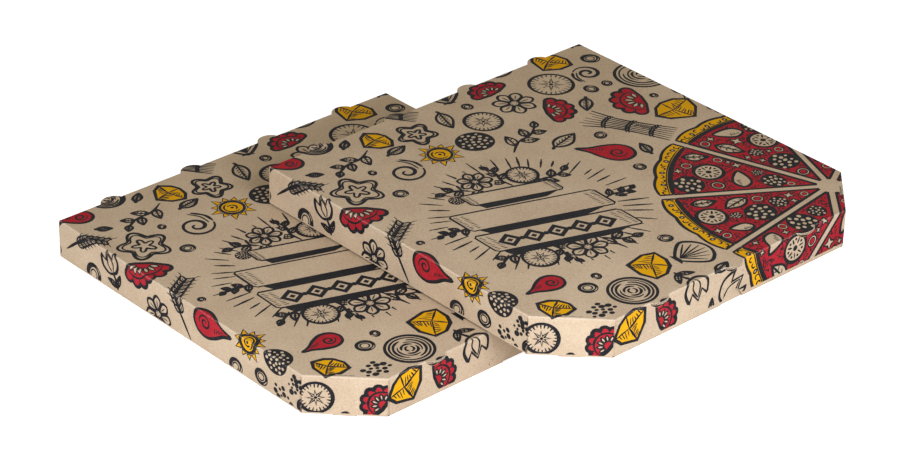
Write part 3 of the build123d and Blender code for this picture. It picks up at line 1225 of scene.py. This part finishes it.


# The lower rim of each front vent, in the wall whose middle lies at y: the whole rim is painted shade, for
# the shade of its hood.
def ventEdges(body, place, y):
    half = math.acos((box["ventCentre"] - hingeZ) / box["ventRadius"])
    turns = [-quarter + half * (i / 12 - 1) for i in range(25)]
    for spot in vents:
        wallRim(body, place, spot, y, box["ventCentre"], box["ventRadius"], turns, cutEdges["sunk"])


# Edges on the wall of a cut corner, so deep behind its outer face, each between two places along it.
def cornerEdges(body, place, way, cut, inset, deep, z, spans, outward, proud=cutEdges["proud"], hidden=None):
    unit = Vector((way * math.sqrt(0.5), -math.sqrt(0.5), 0))
    along = Vector((math.sqrt(0.5), way * math.sqrt(0.5), 0))
    middle = Vector((way * (halfWidth - inset - cut / 2), inset + cut / 2 - halfDepth, 0))
    for span in spans:
        ends = [middle - unit * deep + along * t + Vector((0, 0, z)) for t in span]
        if not (hidden and inside(ends[0], hidden)):
            addPath(body, place, ends, outward, unit, math.sqrt(2), proud)


def lidEdges(body, place, hidden):
    down, up, back, z = (0, 0, -1), (0, 0, 1), (0, 1, 0), box["hem"]
    cut, roll, tip = box["cornerCut"], box["rollWidth"] / 2, box["tipWidth"] / 2
    side, half = halfDepth - cut, cut / math.sqrt(2)
    deep = (box["slitNear"] + box["slitFar"]) / 2
    for way in (-1, 1):
        x = way * (halfWidth - halfBoard)
        addPath(body, place, [(x, -side, z), (x, halfDepth, z)], down, (way, 0, 0), 0)
        ends = [(x, halfDepth, z), (x, halfDepth, box["height"] - cutEdges["backShort"])]
        addPath(body, place, ends, back, (way, 0, 0))
        spans = ((-half, -roll), (roll, half))
        cornerEdges(body, place, way, cut, 0.0, halfBoard, z, spans, down)
        # The tip of the lock, flush in its slit.
        spans = ((-tip, tip),)
        cornerEdges(body, place, way, cut, 0.0, deep, box["height"], spans, up, cutEdges["proudTray"], hidden)
    notch = math.sqrt(box["notchRadius"] ** 2 - (z - box["notchCentre"]) ** 2)
    half = halfWidth - cut
    for a, b in ((-half, -notch), (notch, half)):
        addPath(body, place, [(a, -hingeY, z), (b, -hingeY, z)], down, (0, -1, 0))
    first = math.asin((z - box["notchCentre"]) / box["notchRadius"])
    turns = [first + (math.pi - 2 * first) * i / 24 for i in range(25)]
    wallRim(body, place, 0, -hingeY, box["notchCentre"], box["notchRadius"], turns, cutEdges["proud"])
    radius, inset = box["hoodRadius"], box["hoodInset"]
    for spot in vents:
        tongueRim(body, place, spot, inset - halfDepth, radius, inset, -quarter)
    ventEdges(body, place, -hingeY)
    ventEdges("stack", place, box["trayInset"] - hingeY)
    radius, inset = box["tongueRadius"], box["tongueInset"]
    for spot in backTongues:
        tongueRim(body, place, spot, halfDepth - inset, radius, inset, quarter)


def trayEdges(body, place):
    up, z, proud = (0, 0, 1), box["trayTop"], cutEdges["proudTray"]
    cut = box["cornerCut"] + (box["lockDepth"] + box["lidGap"]) * math.sqrt(2) - 2 * box["trayInset"]
    wall = halfWidth - box["trayInset"] - halfBoard
    end = halfDepth - box["trayInset"] - cut
    half, roll = cut / math.sqrt(2), box["rollWidth"] / 2
    for way in (-1, 1):
        addPath(body, place, [(way * wall, -end, z), (way * wall, wall, z)], up, (way, 0, 0), 0, proud)
        spans = ((-half, -roll), (roll, half))
        low = z - box["rollDrop"]
        cornerEdges(body, place, way, cut, box["trayInset"], halfBoard, low, spans, up, proud)
    mouth = math.sqrt(box["ventRadius"] ** 2 - (box["ventCentre"] - z) ** 2)
    stops = [-end] + [spot + way * mouth for spot in vents for way in (-1, 1)] + [end]
    for a, b in zip(stops[::2], stops[1::2]):
        addPath(body, place, [(a, -wall, z), (b, -wall, z)], up, (0, -1, 0), 1.0, proud)


# What each point of a path carries, under the names that the tree reads.
edgeData = {"outward": "FLOAT_VECTOR", "side": "FLOAT_VECTOR", "turns": "FLOAT", "proud": "FLOAT"}


def makeEdgeTree():
    tree = bpy.data.node_groups.new("flutedEdge", "GeometryNodeTree")
    for way in ("INPUT", "OUTPUT"):
        tree.interface.new_socket("Geometry", in_out=way, socket_type="NodeSocketGeometry")
    for name in ("Board", "Liner", "Sheet", "Swing", "Step"):
        tree.interface.new_socket(name, in_out="INPUT", socket_type="NodeSocketFloat")
    given = addNode(tree, "NodeGroupInput").outputs
    curve = addNode(tree, "GeometryNodeMeshToCurve", {0: given["Geometry"]})
    curve = addNode(tree, "GeometryNodeResampleCurve", {
        "Curve": curve, "Length": given["Step"],
    }, mode="LENGTH")
    kinds = dict(edgeData, shaded="BOOLEAN")
    outward, side, turns, proud, shaded = [
        addNode(tree, "GeometryNodeInputNamedAttribute", {"Name": name}, data_type=kind)
        for name, kind in kinds.items()
    ]
    run = addNode(tree, "GeometryNodeSplineParameter").outputs["Length"]
    phase = addNode(tree, "ShaderNodeMath", {0: run, 1: turns}, operation="MULTIPLY")
    wave = addNode(tree, "ShaderNodeMath", {0: phase}, operation="SINE")
    swing = addNode(tree, "ShaderNodeMath", {0: wave, 1: given["Swing"]}, operation="MULTIPLY")
    inner = addNode(tree, "ShaderNodeMath", {0: given["Board"], 1: -0.5}, operation="MULTIPLY")
    outer = addNode(tree, "ShaderNodeMath", {0: given["Board"], 1: 0.5}, operation="MULTIPLY")
    outer = addNode(tree, "ShaderNodeMath", {0: outer, 1: given["Liner"]}, operation="SUBTRACT")
    halfSheet = addNode(tree, "ShaderNodeMath", {0: given["Sheet"], 1: 0.5}, operation="MULTIPLY")
    middle = addNode(tree, "ShaderNodeMath", {0: swing, 1: halfSheet}, operation="SUBTRACT")
    joined = addNode(tree, "GeometryNodeJoinGeometry")
    for shift, width, rise in (
        (inner, given["Board"], cutEdges["shade"] / 1000), (middle, given["Sheet"], proud),
        (outer, given["Liner"], proud), (inner, given["Liner"], proud),
    ):
        offset = addNode(tree, "ShaderNodeVectorMath", {0: side, "Scale": shift}, operation="SCALE")
        moved = addNode(tree, "GeometryNodeSetPosition", {"Geometry": curve, "Offset": offset})
        line = addNode(tree, "GeometryNodeCurveToMesh", {0: moved})
        wide = addNode(tree, "ShaderNodeVectorMath", {0: side, "Scale": width}, operation="SCALE")
        band = addNode(tree, "GeometryNodeExtrudeMesh", {
            0: line, "Offset": wide, "Offset Scale": 1.0,
        }, mode="EDGES")
        high = addNode(tree, "ShaderNodeVectorMath", {0: outward, "Scale": rise}, operation="SCALE")
        raised = addNode(tree, "GeometryNodeExtrudeMesh", {
            0: band, "Offset": high, "Offset Scale": 1.0, "Individual": False,
        }, mode="FACES")
        marked = addNode(tree, "GeometryNodeStoreNamedAttribute", {
            "Geometry": raised, "Name": "shaded", "Value": rise is not proud,
        }, data_type="BOOLEAN", domain="FACE")
        tree.links.new(marked.outputs[0], joined.inputs[0])
    real = addNode(tree, "GeometryNodeRealizeInstances", {0: joined})
    paper = addNode(tree, "GeometryNodeSetMaterial", {0: real, "Material": cutPaper})
    done = addNode(tree, "GeometryNodeSetMaterial", {0: paper, "Selection": shaded, "Material": fluteShade})
    addNode(tree, "NodeGroupOutput", {0: done})
    return tree


def makeCutEdges(body, tree):
    points, lines = [], []
    values = {name: [] for name in edgeData}
    for path, outward, side, turns, proud, place in edgePaths[body]:
        lines += [(len(points) + i, len(points) + i + 1) for i in range(len(path) - 1)]
        points += [metres(p, place) for p in path]
        values["outward"] += [value for vector in outward for value in vector]
        values["side"] += [value for vector in side for value in vector]
        values["turns"] += [turns] * len(path)
        values["proud"] += [proud / 1000] * len(path)
    mesh = bpy.data.meshes.new(body + "_cut_edges")
    mesh.from_pydata(points, lines, [])
    for name, kind in edgeData.items():
        layer = mesh.attributes.new(name, kind, "POINT")
        layer.data.foreach_set("vector" if kind == "FLOAT_VECTOR" else "value", values[name])
    piece = bpy.data.objects.new(body + "_cut_edges", mesh)
    bpy.context.scene.collection.objects.link(piece)
    modifier = piece.modifiers.new("flutedEdge", "NODES")
    modifier.node_group = tree
    sizes = dict(cutEdges, Board=box["board"])
    for item in tree.interface.items_tree:
        if item.in_out == "INPUT" and item.name in sizes:
            modifier[item.identifier] = sizes[item.name] / 1000
    made = bpy.data.meshes.new_from_object(piece.evaluated_get(bpy.context.evaluated_depsgraph_get()))
    piece.modifiers.clear()
    piece.data = made
    for name in list(edgeData) + ["shaded"]:
        if name in made.attributes:
            made.attributes.remove(made.attributes[name])
    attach(piece, body)
    print("stage:", piece.name, "with", len(made.polygons), "faces")


lidEdges("stack", lowerPlace, under(upperPlace))
lidEdges("upper_lid", upperPlace, None)
trayEdges("stack", upperPlace)
edgeTree = makeEdgeTree()
for bodyName in edgePaths:
    makeCutEdges(bodyName, edgeTree)


# The liner runs unbroken from the tray's back wall over the hinge, apart from the half-round tongues.
hingeLiner = {"rise": 0.03, "tongueClear": 10.9, "steps": 8}


def makeHingeLiner(place):
    stops = [box["trayInset"] - halfWidth]
    for spot in backTongues:
        stops += [spot - hingeLiner["tongueClear"], spot + hingeLiner["tongueClear"]]
    stops.append(halfWidth - box["trayInset"])
    bend, steps = halfBoard * quarter, hingeLiner["steps"]
    outs = [-foldBefore] + [bend * i / steps for i in range(steps + 1)] + [bend + foldPast]
    points, faces = [], []
    for a, b in zip(stops[::2], stops[1::2]):
        for i, out in enumerate(outs):
            if i:
                n = len(points)
                faces.append((n - 2, n - 1, n + 1, n))
            points += [folded((x, hingeY + out), "back", hingeLiner["rise"]) for x in (a, b)]
    piece = meshPiece("hinge_liner", points, faces, kraftBoard, place)
    blendFold(piece)
    print("stage: hinge liner with", len(faces), "faces")


makeHingeLiner(upperPlace)


view = {
    "lens": 124.02,            # the lens and the sensor in millimetres, as on a real camera
    "sensor": 36.0,
    "azimuth": -42.873,
    "height": 29.848,
    "roll": 1.338,
    "aim": (90.727, -1.468, 0.0),
    "distance": 2554.83,
    "farClip": 20.0,           # in metres
}


def placeCamera():
    a, e, r = (math.radians(view[key]) for key in ("azimuth", "height", "roll"))
    back = Vector((math.sin(a) * math.cos(e), -math.cos(a) * math.cos(e), math.sin(e)))
    right = Vector((math.cos(a), math.sin(a), 0))
    up = back.cross(right)
    across = right * math.cos(r) + up * math.sin(r)
    upward = up * math.cos(r) - right * math.sin(r)
    data = bpy.data.cameras.new("camera")
    data.lens = view["lens"]
    data.sensor_width = view["sensor"]
    data.clip_end = view["farClip"]
    camera = bpy.data.objects.new("camera", data)
    bpy.context.scene.collection.objects.link(camera)
    turn = Matrix((across, upward, back)).transposed().to_4x4()
    at = Vector(view["aim"]) + back * view["distance"]
    camera.matrix_world = Matrix.Translation(at / 1000) @ turn
    bpy.context.scene.camera = camera


# Two softboxes close to the boxes, one before them and one to their left, under an even sky.
studio = {
    "sky": 0.33,
    "skyTint": (1.0, 0.95, 0.81, 1.0),
    "lampTint": (0.93, 1.01, 1.3),
    "lamps": (("front", 8.6, 0.6, (-0.14, -0.9, 0.51)), ("left", 5.2, 0.5, (-0.89, -0.09, 0.3))),
    "aim": (0.09, -0.05, 0.03),
    "floorSize": 6.0,          # in metres
    "floorDrop": 0.3,          # in millimetres, so that the boxes' undersides don't lie in it
    "floorGrey": 0.93,
    "floorLift": 0.74,
}


def placeLight():
    for name, power, size, place in studio["lamps"]:
        lamp = bpy.data.lights.new(name, "AREA")
        lamp.energy = power
        lamp.size = size
        lamp.color = studio["lampTint"]
        softbox = bpy.data.objects.new(name, lamp)
        softbox.location = place
        aim = Vector(studio["aim"]) - softbox.location
        softbox.rotation_euler = aim.to_track_quat("-Z", "Y").to_euler()
        bpy.context.scene.collection.objects.link(softbox)
    world = bpy.data.worlds.new("studio")
    world.use_nodes = True
    tree = world.node_tree
    tree.nodes.clear()
    seen = addNode(tree, "ShaderNodeLightPath").outputs
    mirrored = addNode(tree, "ShaderNodeMath", {
        0: seen["Is Glossy Ray"], 1: seen["Is Transmission Ray"],
    }, operation="MAXIMUM")
    shown = addNode(tree, "ShaderNodeMath", {0: seen["Is Camera Ray"], 1: mirrored}, operation="MAXIMUM")
    tint = addNode(tree, "ShaderNodeMix", {0: shown, 6: studio["skyTint"], 7: (1, 1, 1, 1)}, data_type="RGBA")
    strength = addNode(tree, "ShaderNodeMapRange", {"Value": shown, "To Min": studio["sky"], "To Max": 1.0})
    light = addNode(tree, "ShaderNodeBackground", {"Color": tint.outputs[2], "Strength": strength})
    addNode(tree, "ShaderNodeOutputWorld", {"Surface": light})
    bpy.context.scene.world = world


# White painted board under the boxes: it keeps the soft shadow and reads as paper white.
def placeFloor():
    material, tree = newMaterial("whiteStudioFloor")
    seen = addNode(tree, "ShaderNodeLightPath").outputs["Is Camera Ray"]
    matt = addNode(tree, "ShaderNodeBsdfDiffuse", {"Color": (studio["floorGrey"],) * 3 + (1.0,)})
    lift = addNode(tree, "ShaderNodeEmission", {"Strength": studio["floorLift"]})
    both = addNode(tree, "ShaderNodeAddShader", {0: matt, 1: lift})
    pick = addNode(tree, "ShaderNodeMixShader", {0: seen, 1: matt, 2: both})
    addNode(tree, "ShaderNodeOutputMaterial", {"Surface": pick})
    half = studio["floorSize"] * 1000 / 2
    corners = [(x, y, -studio["floorDrop"]) for x, y in slab(-half, -half, half, half)]
    meshPiece("floor", corners, [(0, 1, 2, 3)], material)


placeCamera()
placeLight()
placeFloor()
bpy.context.scene.view_settings.view_transform = "Standard"
print("stage: camera, light and floor placed")
